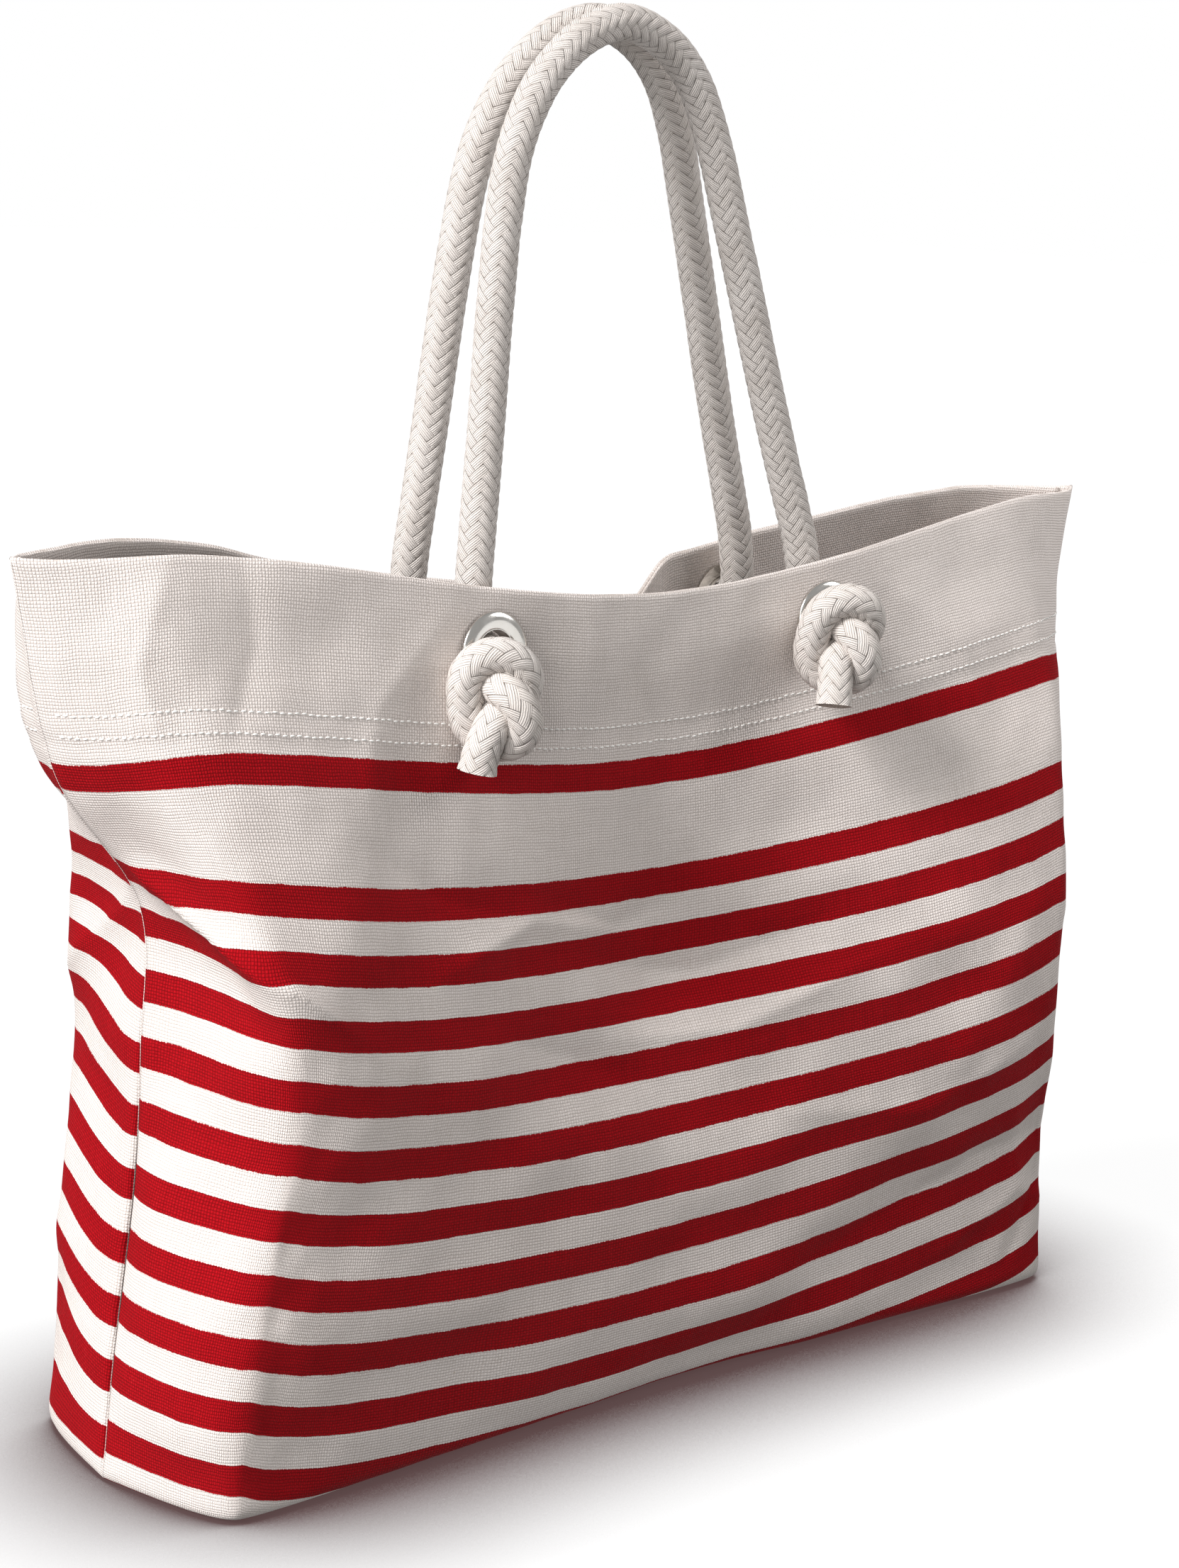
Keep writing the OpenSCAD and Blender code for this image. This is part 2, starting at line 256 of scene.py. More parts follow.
class Graph:
    """Short calls that add nodes to a material and return their output sockets."""

    def __init__(self, tree):
        self.tree = tree

    def node(self, kind, **settings):
        node = self.tree.nodes.new(kind)
        for key, value in settings.items():
            setattr(node, key, value)
        return node

    def put(self, socket, value):
        if isinstance(value, bpy.types.NodeSocket):
            self.tree.links.new(value, socket)
        else:
            socket.default_value = value

    def math(self, operation, a, b=0.0):
        node = self.node("ShaderNodeMath", operation=operation)
        for socket, value in zip(node.inputs, (a, b)):
            self.put(socket, value)
        return node.outputs[0]

    def uv(self, name):
        split = self.node("ShaderNodeSeparateXYZ")
        self.put(split.inputs[0], self.node("ShaderNodeUVMap", uv_map=name).outputs[0])
        return split.outputs[0], split.outputs[1]

    def vector(self, x, y, z=0.0):
        node = self.node("ShaderNodeCombineXYZ")
        for socket, value in zip(node.inputs, (x, y, z)):
            self.put(socket, value)
        return node.outputs[0]

    def noise(self, where, scale, detail=2.0, rough=0.5):
        node = self.node("ShaderNodeTexNoise")
        self.put(node.inputs["Vector"], where)
        node.inputs["Scale"].default_value = scale
        node.inputs["Detail"].default_value = detail
        node.inputs["Roughness"].default_value = rough
        return node.outputs[0]

    def remap(self, value, from_low, from_high, to_low, to_high, soft=False):
        node = self.node("ShaderNodeMapRange", interpolation_type="SMOOTHSTEP" if soft else "LINEAR")
        for socket, number in zip(node.inputs, (value, from_low, from_high, to_low, to_high)):
            self.put(socket, number)
        return node.outputs[0]

    def mix(self, share, a, b):
        node = self.node("ShaderNodeMix", data_type="RGBA")
        colours = [s for s in node.inputs if s.type == "RGBA"]
        self.put(node.inputs[0], share)
        for socket, value in zip(colours, (a, b)):
            self.put(socket, (*value, 1) if isinstance(value, tuple) and len(value) == 3 else value)
        return next(s for s in node.outputs if s.type == "RGBA")

    def bump(self, height, distance, strength=1.0):
        node = self.node("ShaderNodeBump")
        node.inputs["Strength"].default_value = strength
        node.inputs["Distance"].default_value = distance
        self.put(node.inputs["Height"], height)
        return node.outputs[0]


WEAVE_PITCH = 1.15 * MM
COTTON = (0.83, 0.757, 0.722)
# Darker cotton: painted shade in the weave's gaps, and the yarn's own darker tone
COTTON_SHADE_AND_DARK_TONE = (0.60, 0.53, 0.485)
RED = (0.40, 0.003, 0.008)
# Darker red: painted shade in the weave's gaps, and the ink's own darker tone
RED_SHADE_AND_DARK_TONE = (0.19, 0.001, 0.003)


def weave(g, x, y, pitch):
    """Height of a plain weave, 0 to 1, in which warp and weft yarns cross over each other in turn."""
    across, up = g.math("DIVIDE", x, pitch), g.math("DIVIDE", y, pitch)
    parity = g.math("MODULO", g.math("ADD", g.math("FLOOR", across), g.math("FLOOR", up)), 2.0)
    parity = g.math("ABSOLUTE", parity)

    def ridge(value):
        return g.math("ABSOLUTE", g.math("SINE", g.math("MULTIPLY", value, math.pi)))

    warp = g.math("MULTIPLY", ridge(across), g.math("ADD", 0.35, g.math("MULTIPLY", ridge(up), 0.65)))
    weft = g.math("MULTIPLY", ridge(up), g.math("ADD", 0.35, g.math("MULTIPLY", ridge(across), 0.65)))
    warp_shape = g.math("MULTIPLY", g.math("POWER", ridge(across), 0.6), g.math("POWER", ridge(up), 0.35))
    weft_shape = g.math("MULTIPLY", g.math("POWER", ridge(up), 0.6), g.math("POWER", ridge(across), 0.35))
    weft_shape = g.math("MULTIPLY", weft_shape, 0.72)
    over = g.math("MULTIPLY", warp_shape, parity)
    under = g.math("MULTIPLY", weft_shape, g.math("SUBTRACT", 1.0, parity))
    shape = g.math("ADD", over, under)
    return g.math("MAXIMUM", shape, g.math("MULTIPLY", g.math("MAXIMUM", warp, weft), 0.55))


def canvas_look(name, striped):
    material, g, out = shader(name, Roughness=0.9, Specular_IOR_Level=0.08)
    x, y = g.uv("cloth")
    place = g.vector(x, y)
    # Yarns wander a little
    wander = g.noise(place, 90.0, 2.0)
    wander_two = g.noise(g.vector(y, x, 0.37), 70.0, 2.0)
    wx = g.math("ADD", x, g.math("MULTIPLY", g.math("SUBTRACT", wander, 0.5), 1.6 * MM))
    wy = g.math("ADD", y, g.math("MULTIPLY", g.math("SUBTRACT", wander_two, 0.5), 1.6 * MM))
    height = weave(g, wx, wy, WEAVE_PITCH)
    # Slubs: streaks along each set of yarns
    slub_up = g.noise(g.vector(g.math("MULTIPLY", x, 900.0), g.math("MULTIPLY", y, 60.0)), 1.0, 1.0)
    slub_across = g.noise(g.vector(g.math("MULTIPLY", x, 60.0), g.math("MULTIPLY", y, 900.0), 0.7), 1.0, 1.0)
    slub = g.math("MULTIPLY", g.math("ADD", slub_up, slub_across), 0.5)
    fibre = g.noise(place, 4200.0, 2.0, 0.7)
    cloudy = g.noise(place, 14.0, 3.0)
    # The colour follows the weave's height: darker in the gaps between yarns is painted shade; slubs, fibre
    # and clouds add the yarn's own uneven tone
    painted_shade_and_tone = g.math("ADD", g.math("MULTIPLY", height, 0.8), g.math("MULTIPLY", slub, 0.5))
    painted_shade_and_tone = g.math("ADD", painted_shade_and_tone, g.math("MULTIPLY", g.math("SUBTRACT", fibre, 0.5), 0.35))
    painted_shade_and_tone = g.math("ADD", painted_shade_and_tone, g.math("MULTIPLY", g.math("SUBTRACT", cloudy, 0.5), 0.3))
    light = g.remap(painted_shade_and_tone, 0.25, 0.95, 0.0, 1.0)
    cotton = g.mix(light, COTTON_SHADE_AND_DARK_TONE, COTTON)
    # A few darker husks in the yarn
    husk = g.noise(g.vector(g.math("MULTIPLY", x, 500.0), g.math("MULTIPLY", y, 380.0), 3.3), 1.0, 1.0)
    cotton = g.mix(g.remap(husk, 0.80, 0.86, 0.0, 0.5), cotton, (0.42, 0.33, 0.22))
    colour = cotton
    if striped:
        ink = stripes(g, x, y, height, fibre)
        # The print is darker in the weave's gaps too: painted shade, with the ink's own uneven tone
        red = g.mix(g.remap(painted_shade_and_tone, 0.35, 1.0, 0.0, 1.0), RED_SHADE_AND_DARK_TONE, RED)
        # Ink rubs thin on the crowns of the yarns
        thin = g.math("MULTIPLY", g.remap(slub, 0.62, 0.75, 0.0, 0.12), g.remap(height, 0.7, 1.0, 0.0, 1.0))
        red = g.mix(thin, red, (0.60, 0.10, 0.10))
        colour = g.mix(ink, cotton, red)
    g.put(out.inputs["Base Color"], colour)
    relief = g.math("ADD", g.math("MULTIPLY", height, 0.8), g.math("MULTIPLY", slub, 0.5))
    relief = g.math("ADD", relief, g.math("MULTIPLY", fibre, 0.18))
    g.put(out.inputs["Normal"], g.bump(relief, 0.42 * MM, 0.9))
    return material


STRIPE_PITCH = 23.8
STRIPE_SHARE = 0.49
SECOND_STRIPE_TOP = 236.7
FIRST_STRIPE = (270.6, 281.5)


def stripes(g, x, y, height, fibre):
    """Share of red print at cloth height y: one stripe alone, then a wide gap, then even stripes down."""
    # The print's edge follows the yarns
    edge = g.math("ADD", g.math("MULTIPLY", g.math("SUBTRACT", height, 0.5), 0.35 * MM),
                  g.math("MULTIPLY", g.math("SUBTRACT", fibre, 0.5), 0.5 * MM))
    uneven = g.math("MULTIPLY", g.math("SUBTRACT", g.noise(g.vector(x, y, 5.0), 120.0, 3.0), 0.5), 0.9 * MM)
    v = g.math("ADD", y, g.math("ADD", edge, uneven))
    pitch, band = STRIPE_PITCH * MM, STRIPE_PITCH * STRIPE_SHARE * MM
    below = g.math("SUBTRACT", SECOND_STRIPE_TOP * MM, v)
    phase = g.math("FLOORED_MODULO", below, pitch)
    soft = 0.18 * MM
    inside = g.math("MULTIPLY", g.remap(phase, 0.0, soft, 0.0, 1.0),
                    g.remap(phase, band, band + soft, 1.0, 0.0))
    inside = g.math("MULTIPLY", inside, g.remap(below, 0.0, soft, 0.0, 1.0))
    low, high = FIRST_STRIPE
    first = g.math("MULTIPLY", g.remap(v, low * MM, low * MM + soft, 0.0, 1.0),
                   g.remap(v, high * MM, high * MM + soft, 1.0, 0.0))
    return g.math("MAXIMUM", inside, first)


def thread_look():
    material, g, out = shader("thread", Roughness=0.7, Sheen_Weight=0.1)
    place = g.node("ShaderNodeNewGeometry").outputs["Position"]
    ply = g.node("ShaderNodeTexWave", wave_type="BANDS", bands_direction="DIAGONAL")
    g.put(ply.inputs["Vector"], place)
    ply.inputs["Scale"].default_value = 900
    # The plies are lighter on their crowns and darker in their grooves: painted shade along the same bands as
    # the bump
    g.put(out.inputs["Base Color"], g.mix(ply.outputs["Fac"], (0.84, 0.81, 0.77), (0.95, 0.94, 0.91)))
    g.put(out.inputs["Normal"], g.bump(ply.outputs["Fac"], 0.1 * MM, 0.6))
    return material


def nickel_look():
    material, g, out = shader("nickel", Metallic=1.0)
    place = g.node("ShaderNodeNewGeometry").outputs["Position"]
    haze = g.noise(place, 160.0, 4.0, 0.6)
    g.put(out.inputs["Roughness"], g.remap(haze, 0.3, 0.75, 0.10, 0.26))
    g.put(out.inputs["Base Color"], g.mix(haze, (0.66, 0.63, 0.58), (0.80, 0.78, 0.75)))
    g.put(out.inputs["Normal"], g.bump(g.noise(place, 900.0, 2.0), 0.02 * MM, 0.3))
    return material


BRAID_BANDS = 8
BRAID_PITCH = 5.2
YARNS = 5


def rope_look():
    """Cotton rope: bands of yarns cross over two and under two, which leaves columns of slanting stitches."""
    material, g, out = shader("cotton_rope_braid", Roughness=0.95, Specular_IOR_Level=0.1)
    round_share, along = g.uv("rope")
    turn = g.math("MULTIPLY", round_share, float(BRAID_BANDS))
    run = g.math("DIVIDE", along, BRAID_PITCH * MM)
    a, b = g.math("ADD", turn, run), g.math("SUBTRACT", turn, run)
    order = g.math("FLOORED_MODULO", g.math("ADD", g.math("FLOOR", a), g.math("FLOOR", b)), 4.0)
    first_over = g.math("LESS_THAN", order, 1.5)
    side = g.math("ADD", g.math("MULTIPLY", a, first_over),
                  g.math("MULTIPLY", b, g.math("SUBTRACT", 1.0, first_over)))
    down = g.math("ADD", g.math("MULTIPLY", b, first_over),
                  g.math("MULTIPLY", a, g.math("SUBTRACT", 1.0, first_over)))
    place = g.vector(g.math("MULTIPLY", round_share, 44 * MM), along)
    jitter = g.math("MULTIPLY", g.math("SUBTRACT", g.noise(place, 700.0, 2.0), 0.5), 0.35)
    yarn = g.math("ADD", g.math("MULTIPLY", side, float(YARNS)), jitter)
    yarn = g.math("ABSOLUTE", g.math("SINE", g.math("MULTIPLY", yarn, math.pi)))
    yarn = g.math("POWER", yarn, 0.6)
    strands = g.vector(g.math("MULTIPLY", side, 26.0), g.math("MULTIPLY", down, 4.0), first_over)
    fibre = g.noise(strands, 1.0, 3.0, 0.7)
    across = g.math("ABSOLUTE", g.math("SUBTRACT", g.math("FRACT", side), 0.5))
    gap = g.remap(across, 0.36, 0.5, 0.0, 1.0, soft=True)
    cloudy = g.noise(place, 60.0, 3.0)
    # Lighter on the yarns' crowns and darker in their grooves: painted shade, with the fibre's own uneven
    # tone
    painted_shade_and_tone = g.math("ADD", g.math("MULTIPLY", yarn, 0.6), g.math("MULTIPLY", fibre, 0.45))
    painted_shade_and_tone = g.math("ADD", painted_shade_and_tone, g.math("MULTIPLY", g.math("SUBTRACT", cloudy, 0.5), 0.6))
    colour = g.mix(g.remap(painted_shade_and_tone, 0.2, 0.95, 0.0, 1.0), (0.50, 0.44, 0.395), (0.84, 0.785, 0.745))
    # Darkest where the gaps between the bands meet: painted shade
    ends = g.math("ABSOLUTE", g.math("SUBTRACT", g.math("FRACT", g.math("MULTIPLY", down, 0.5)), 0.5))
    painted_gap_shade = g.math("MULTIPLY", gap, g.remap(ends, 0.25, 0.5, 0.25, 1.0, soft=True))
    colour = g.mix(g.math("MULTIPLY", painted_gap_shade, 0.75), colour, (0.30, 0.25, 0.215))
    speck = g.noise(g.vector(g.math("MULTIPLY", side, 9.0), g.math("MULTIPLY", down, 7.0), 7.7), 1.0, 1.0)
    colour = g.mix(g.remap(speck, 0.78, 0.84, 0.0, 0.5), colour, (0.30, 0.25, 0.20))
    g.put(out.inputs["Base Color"], colour)
    relief = g.math("ADD", g.math("MULTIPLY", yarn, 0.7), g.math("MULTIPLY", fibre, 0.5))
    relief = g.math("SUBTRACT", relief, g.math("MULTIPLY", gap, 0.8))
    g.put(out.inputs["Normal"], g.bump(relief, 0.4 * MM, 1.0))
    return material


def cut_rope_look():
    """The rope's cut end: the ends of its yarns about a core of loose fibre."""
    material, g, out = shader("rope_end", Roughness=0.95)
    place = g.node("ShaderNodeNewGeometry").outputs["Position"]
    cells = g.node("ShaderNodeTexVoronoi", feature="F1")
    g.put(cells.inputs["Vector"], place)
    cells.inputs["Scale"].default_value = 900
    dots = g.remap(cells.outputs["Distance"], 0.15, 0.6, 1.0, 0.0)
    # The yarn ends are lighter and the hollows between them darker: painted shade, along the same mask as the
    # bump
    g.put(out.inputs["Base Color"], g.mix(dots, (0.26, 0.22, 0.18), (0.66, 0.60, 0.53)))
    g.put(out.inputs["Normal"], g.bump(dots, 0.5 * MM))
    return material


# ---------------------------------------------------------------- canvas body

COLUMNS, WALL_ROWS, BASE_ROWS = 224, 150, 18
BASE_DEPTH = 62


def cloth_grid():
    """Points of the front panel's outside, from the bottom seam up, and their places in the flat cloth."""
    u = np.linspace(-1, 1, COLUMNS + 1)
    fold = panel_point(u, np.zeros_like(u))
    rows, heights = [], []
    for i in range(BASE_ROWS):
        b = i / BASE_ROWS
        p = fold.copy()
        p[:, 0] *= BASE_TAPER + (1 - BASE_TAPER) * b
        p[:, 1] = -SEAM_GAP + (p[:, 1] + SEAM_GAP) * b
        p[:, 2] = 0
        rows.append(p)
        heights.append(hidden_height(u) - (1 - b) * BASE_DEPTH)
    for i in range(WALL_ROWS + 1):
        k = mouth_level(np.abs(u)) * i / WALL_ROWS
        rows.append(panel_point(u, k))
        heights.append(hidden_height(u) + (CLOTH_H - hidden_height(u)) * k)
    points, heights = np.array(rows), np.array(heights)
    across = np.broadcast_to(u * QUARTER, heights.shape)
    for _ in range(5):
        soft = points.copy()
        for i in range(BASE_ROWS - 2, BASE_ROWS + 3):
            soft[i] = (points[i - 1] + 2 * points[i] + points[i + 1]) / 4
        points = soft
    return points, np.stack([across, heights], -1)


# Folds and hollows in the cloth: (line of points in flat cloth millimetres, height, half width)
FRONT_FOLDS = [
    ([(-280, 238), (-250, 224), (-222, 208), (-196, 194), (-166, 180)], 10, 12),
    ([(280, 232), (262, 210), (238, 190), (210, 170)], 4, 12),
    ([(-150, 252), (-110, 232), (-60, 222)], -4.4, 13),
    ([(-120, 205), (-70, 222), (-20, 214)], 4.6, 9),
    ([(-60, 232), (-20, 216), (10, 222)], -3.8, 8),
    ([(-40, 205), (20, 192), (80, 204)], -4.6, 13),
    ([(-30, 172), (30, 166), (100, 184)], 4.2, 10),
    ([(-90, 180), (-50, 168), (-10, 150)], -3.6, 10),
    ([(40, 130), (110, 112), (190, 128)], 3, 14),
    ([(60, 60), (140, 78), (215, 70)], -3, 12),
    ([(120, 40), (170, 52), (215, 34)], 2.6, 9),
    ([(100, 20), (160, 18), (205, 60)], -2.4, 9),
    ([(-225, 350), (-238, 315), (-230, 285)], 3, 10),
    ([(-195, 350), (-190, 320), (-205, 280)], -2.4, 11),
    ([(-110, 335), (-140, 300), (-150, 262)], 2.4, 13),
    ([(120, 330), (150, 300), (160, 270)], 2.2, 13),
    ([(-20, 330), (0, 295), (10, 262)], -2.4, 20),
]
BACK_FOLDS = [
    ([(-266, 352), (-262, 300), (-264, 258)], 6, 9),
    ([(-280, 224), (-260, 206), (-234, 187), (-206, 166)], 4, 11),
    ([(280, 236), (250, 222), (222, 206), (194, 192), (168, 180)], 6, 13),
    ([(-120, 214), (-70, 204), (-10, 210)], -2.6, 17),
    ([(30, 226), (90, 214), (150, 222)], -2.4, 15),
    ([(-90, 110), (-20, 124), (60, 112)], 2.4, 18),
    ([(110, 332), (150, 300), (170, 262)], 2.4, 12),
    ([(205, 346), (190, 318), (176, 290)], -2.6, 12),
    ([(120, 348), (132, 326), (150, 300)], 2.2, 9),
]
# Hollows all over the cloth, from broad to fine: their size, their depth and where the noise starts
HOLLOWS = [((74, 60), 2.8, (7, 3)), ((33, 27), 1.7, (1, 9)), ((13, 13), 0.4, (4, 2))]
FLAT_AT_BASE, FADE_UP, FADE_ACROSS = 6, 30, 14
STITCH_DEPTHS = (FACING_H - 11, FACING_H - 3)
PUCKER, PUCKER_REACH, PUCKER_STEP = 0.16, 1.6, 1.9
FACING_EDGE, FACING_EDGE_REACH = 0.5, 2.2
SEAM_GROOVE, SEAM_GROOVE_REACH = 1.1, 1.6
RIM_SAG = 16
RIM_LEAN = 8
SAG_HALF_WIDTH = 60
SAG_SLOPE = 36
SAG_FROM, SAG_OVER = 215, 130
LEFT_SAG = 3.5
LEFT_SAG_FROM, LEFT_SAG_TO, LEFT_SAG_BOTTOM = -175, -45, 322


def cloth_relief(cloth, folds, seed):
    """How far the cloth stands out of its smooth line, in mm."""
    x, y = cloth[..., 0], cloth[..., 1]
    out = np.zeros_like(x)
    for n, ((wide, tall), depth, (x_start, y_start)) in enumerate(HOLLOWS):
        out += depth * lattice_noise(x / wide + x_start, y / tall + y_start, seed + n)
    for line, height, width in folds:
        far, along = polyline_distance(x, y, line)
        out += height * np.exp(-far / width) * np.sin(np.pi * np.clip(0.12 + 0.8 * along, 0, 1))
    out *= ease((y - FLAT_AT_BASE) / FADE_UP) * ease((QUARTER - np.abs(x)) / FADE_ACROSS)
    # The hem pulls in along its stitches, and the side seams sit in a groove
    top = mouth_height(x / QUARTER)
    for depth in STITCH_DEPTHS:
        uneven = 1 + 0.6 * np.sin(x / PUCKER_STEP + 2 * lattice_noise(x / 30, y / 30, seed + 3))
        out -= PUCKER * uneven * np.exp(-((top - depth - y) / PUCKER_REACH) ** 2)
    out -= FACING_EDGE * np.exp(-((top - STITCH_DEPTHS[1] - 3.5 - y) / FACING_EDGE_REACH) ** 2)
    out -= SEAM_GROOVE * np.exp(-(QUARTER - np.abs(x)) / SEAM_GROOVE_REACH) * np.clip(y / 10, 0, 1)
    return out


def mouth_height(u):
    """Height of the mouth's edge in the flat cloth."""
    return hidden_height(u) + (CLOTH_H - hidden_height(u)) * mouth_level(np.abs(u))


def shaped_cloth(folds, seed, sag):
    """The cloth with its folds, and its mouth sagging by a share of the most between the eyelets."""
    points, cloth = cloth_grid()
    normals = grid_normals(points)
    points = points + cloth_relief(cloth, folds, seed)[..., None] * normals
    x, y = cloth[..., 0], cloth[..., 1]
    slack = sag * ease((SAG_HALF_WIDTH - np.abs(x)) / SAG_SLOPE) * ease((y - SAG_FROM) / SAG_OVER)
    points[..., 1] += RIM_LEAN * slack
    points[..., 2] -= RIM_SAG * slack
    # The left half of the sagging rim lies a little lower too
    left_slack = LEFT_SAG * sag * ease((x - LEFT_SAG_FROM) / 40) * ease((LEFT_SAG_TO - x) / 15)
    points[..., 2] -= left_slack * ease((y - LEFT_SAG_BOTTOM) / 26)
    points[..., 1] = np.minimum(points[..., 1], -SEAM_GAP)
    points[..., 2] = np.maximum(points[..., 2], FLOOR_GAP)
    return points, cloth, grid_normals(points)


def inward(points, normals, depth):
    p = points - depth * normals
    p[..., 1] = np.minimum(p[..., 1], -SEAM_GAP)
    p[..., 2] = np.maximum(p[..., 2], FLOOR_GAP + min(depth, 1))
    return p


def hole_mask(points):
    """True for the cells of the grid that stay, clear of the two eyelets' barrels."""
    centres = (points[:-1, :-1] + points[1:, :-1] + points[:-1, 1:] + points[1:, 1:]) / 4
    keep = np.ones(centres.shape[:2], bool)
    for side in (-1, 1):
        eyelet = np.array([side * EYELET_POINT[0], EYELET_POINT[1], EYELET_POINT[2]])
        keep &= np.linalg.norm(centres - eyelet, axis=-1) > HOLE_R
    return keep


def shell(name, outer, inner, cloth, keep, round_top):
    """A sheet of two layers whose open edges are closed, with its flat cloth place as a UV map."""
    rows, columns = outer.shape[:2]
    half = rows * columns
    points = np.concatenate([outer.reshape(-1, 3), inner.reshape(-1, 3)])
    uv = np.concatenate([cloth.reshape(-1, 2)] * 2)
    faces, marks = [], []

    def at(i, j, layer):
        return layer * half + i * columns + j

    for i, j in np.argwhere(keep):
        ring = [(i, j), (i, j + 1), (i + 1, j + 1), (i + 1, j)]
        faces.append([at(*c, 0) for c in ring])
        faces.append([at(*c, 1) for c in ring[::-1]])
        marks += [0, 1]
        beyond = [(i - 1, j), (i, j + 1), (i + 1, j), (i, j - 1)]
        for n, (a, b) in enumerate(beyond):
            if 0 <= a < keep.shape[0] and 0 <= b < keep.shape[1] and keep[a, b]:
                continue
            if n == 2 and i == rows - 2:
                continue
            start, end = ring[n], ring[(n + 1) % 4]
            faces.append([at(*start, 0), at(*start, 1), at(*end, 1), at(*end, 0)])
            marks.append(1)
    crest = (outer[-1] + inner[-1]) / 2 + np.array([0, 0, round_top])
    first = len(points)
    points = np.concatenate([points, crest])
    uv = np.concatenate([uv, cloth[-1]])
    for j in range(columns - 1):
        faces.append([at(rows - 1, j, 0), at(rows - 1, j + 1, 0), first + j + 1, first + j])
        faces.append([first + j, first + j + 1, at(rows - 1, j + 1, 1), at(rows - 1, j, 1)])
        marks += [0, 1]
    piece = new_mesh(name, points, faces)
    piece.data.polygons.foreach_set("material_index", marks)
    write_uv(piece, "cloth", uv * MM)
    return piece


def mirrored(points):
    return points * np.array([1, -1, 1])


def turn_over(piece):
    """Mirrors a front piece to the back."""
    mesh = piece.data
    co = np.empty(len(mesh.vertices) * 3)
    mesh.vertices.foreach_get("co", co)
    mesh.vertices.foreach_set("co", (co.reshape(-1, 3) * np.array([1, -1, 1])).ravel())
    mesh.flip_normals()
    mesh.update()


PRINT_LOW = 3
SHEAR = 14


def skewed(cloth):
    """The back's print sits a little low and slants near the left seam, where the side is tucked in."""
    x, y = cloth[..., 0], cloth[..., 1]
    share = ease((x + QUARTER) / 50) * ease((-100 - x) / 110) * ease(y / 60) * ease((250 - y) / 70)
    return np.stack([x, y + PRINT_LOW - SHEAR * share], -1)


def make_half(side, folds, seed, looks):
    """One panel, its facing and its stitches; the back half is built like the front and then mirrored."""
    back = side == "back"
    points, cloth, normals = shaped_cloth(folds, seed, float(back))
    if back:
        cloth = skewed(cloth)
    keep = hole_mask(points)

    panel = shell(f"{side}_panel_cloth", points, inward(points, normals, CANVAS_T), cloth, keep, 0.5)
    panel.data.materials.append(looks["striped"])
    panel.data.materials.append(looks["plain"])

    first = BASE_ROWS + round(WALL_ROWS * (1 - FACING_H / CORNER_H))
    edge = 3
    top = np.s_[first:, edge:-edge]
    depth = CANVAS_T + FACING_GAP
    facing = shell(f"{side}_facing_cloth", inward(points[top], normals[top], depth),
                   inward(points[top], normals[top], depth + FACING_T), cloth[top], keep[top], 0.3)
    facing.data.materials.append(looks["plain"])
    facing.data.materials.append(looks["plain"])

    stitches = make_stitches(f"{side}_stitches", points, normals, seed)
    stitches.data.materials.append(looks["thread"])
    for piece in (panel, facing, stitches):
        if back:
            turn_over(piece)
        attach(piece, "root")
    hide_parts(f"{side}_panel")
    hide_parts(f"{side}_facing")
    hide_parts(f"{side}_stitching")


def sampled(grid, i, j):
    """Value of a grid at fractional row i and column j."""
    i0 = np.clip(np.floor(i).astype(int), 0, grid.shape[0] - 2)
    j0 = np.clip(np.floor(j).astype(int), 0, grid.shape[1] - 2)
    fi, fj = (i - i0)[:, None], (j - j0)[:, None]
    return ((grid[i0, j0] * (1 - fj) + grid[i0, j0 + 1] * fj) * (1 - fi)
            + (grid[i0 + 1, j0] * (1 - fj) + grid[i0 + 1, j0 + 1] * fj) * fi)


STITCH_STEP = 3.1
STITCH_LENGTH = 2.2
STITCH_WIDTH = 0.75
STITCH_THICK = 0.55
STITCH_RISE, STITCH_DIP = 0.34, 0.12
STITCH_MARGIN = 6
UNEVEN_ALONG, UNEVEN_UP = 0.15, 0.25


def make_stitches(name, points, normals, seed):
    """Rows of single stitches: each a short fat thread that dips into the cloth at both ends."""
    rng = np.random.default_rng(seed + 11)
    sides, rings = 6, 7
    all_points, faces = [], []
    for depth in STITCH_DEPTHS:
        count = int(2 * (QUARTER - STITCH_MARGIN) / STITCH_STEP)
        middle = (np.arange(count) + 0.5 - count / 2) * STITCH_STEP
        middle += rng.uniform(-UNEVEN_ALONG, UNEVEN_ALONG, count)
        sag = rng.uniform(-UNEVEN_UP, UNEVEN_UP, count)
        level = BASE_ROWS + WALL_ROWS * (1 - (depth + sag) / mouth_height(middle / QUARTER))
        for m, row in zip(middle, level):
            along = np.linspace(-0.5, 0.5, rings)
            column = (m + along * STITCH_LENGTH + QUARTER) / (2 * QUARTER) * COLUMNS
            line = sampled(points, np.full(rings, row), column)
            out = sampled(normals, np.full(rings, row), column)
            tangent = line[-1] - line[0]
            tangent /= np.linalg.norm(tangent)
            thin = np.sqrt(np.clip(1 - (2 * along) ** 2, 0.02, 1))
            first = len(all_points)
            for p, n, share in zip(line, out, thin):
                n = n / np.linalg.norm(n)
                across = np.cross(n, tangent)
                centre = p + n * (STITCH_RISE * share - STITCH_DIP)
                for q in range(sides):
                    a = 2 * math.pi * q / sides
                    all_points.append(centre + across * math.cos(a) * STITCH_WIDTH / 2 * share
                                      + n * math.sin(a) * STITCH_THICK / 2 * share)
            for r in range(rings - 1):
                for q in range(sides):
                    a, b = first + r * sides + q, first + r * sides + (q + 1) % sides
                    faces.append([a, b, b + sides, a + sides])
            faces.append([first + q for q in range(sides)][::-1])
            faces.append([first + (rings - 1) * sides + q for q in range(sides)])
    return new_mesh(name, all_points, faces)


# ---------------------------------------------------------------- seam edges inside

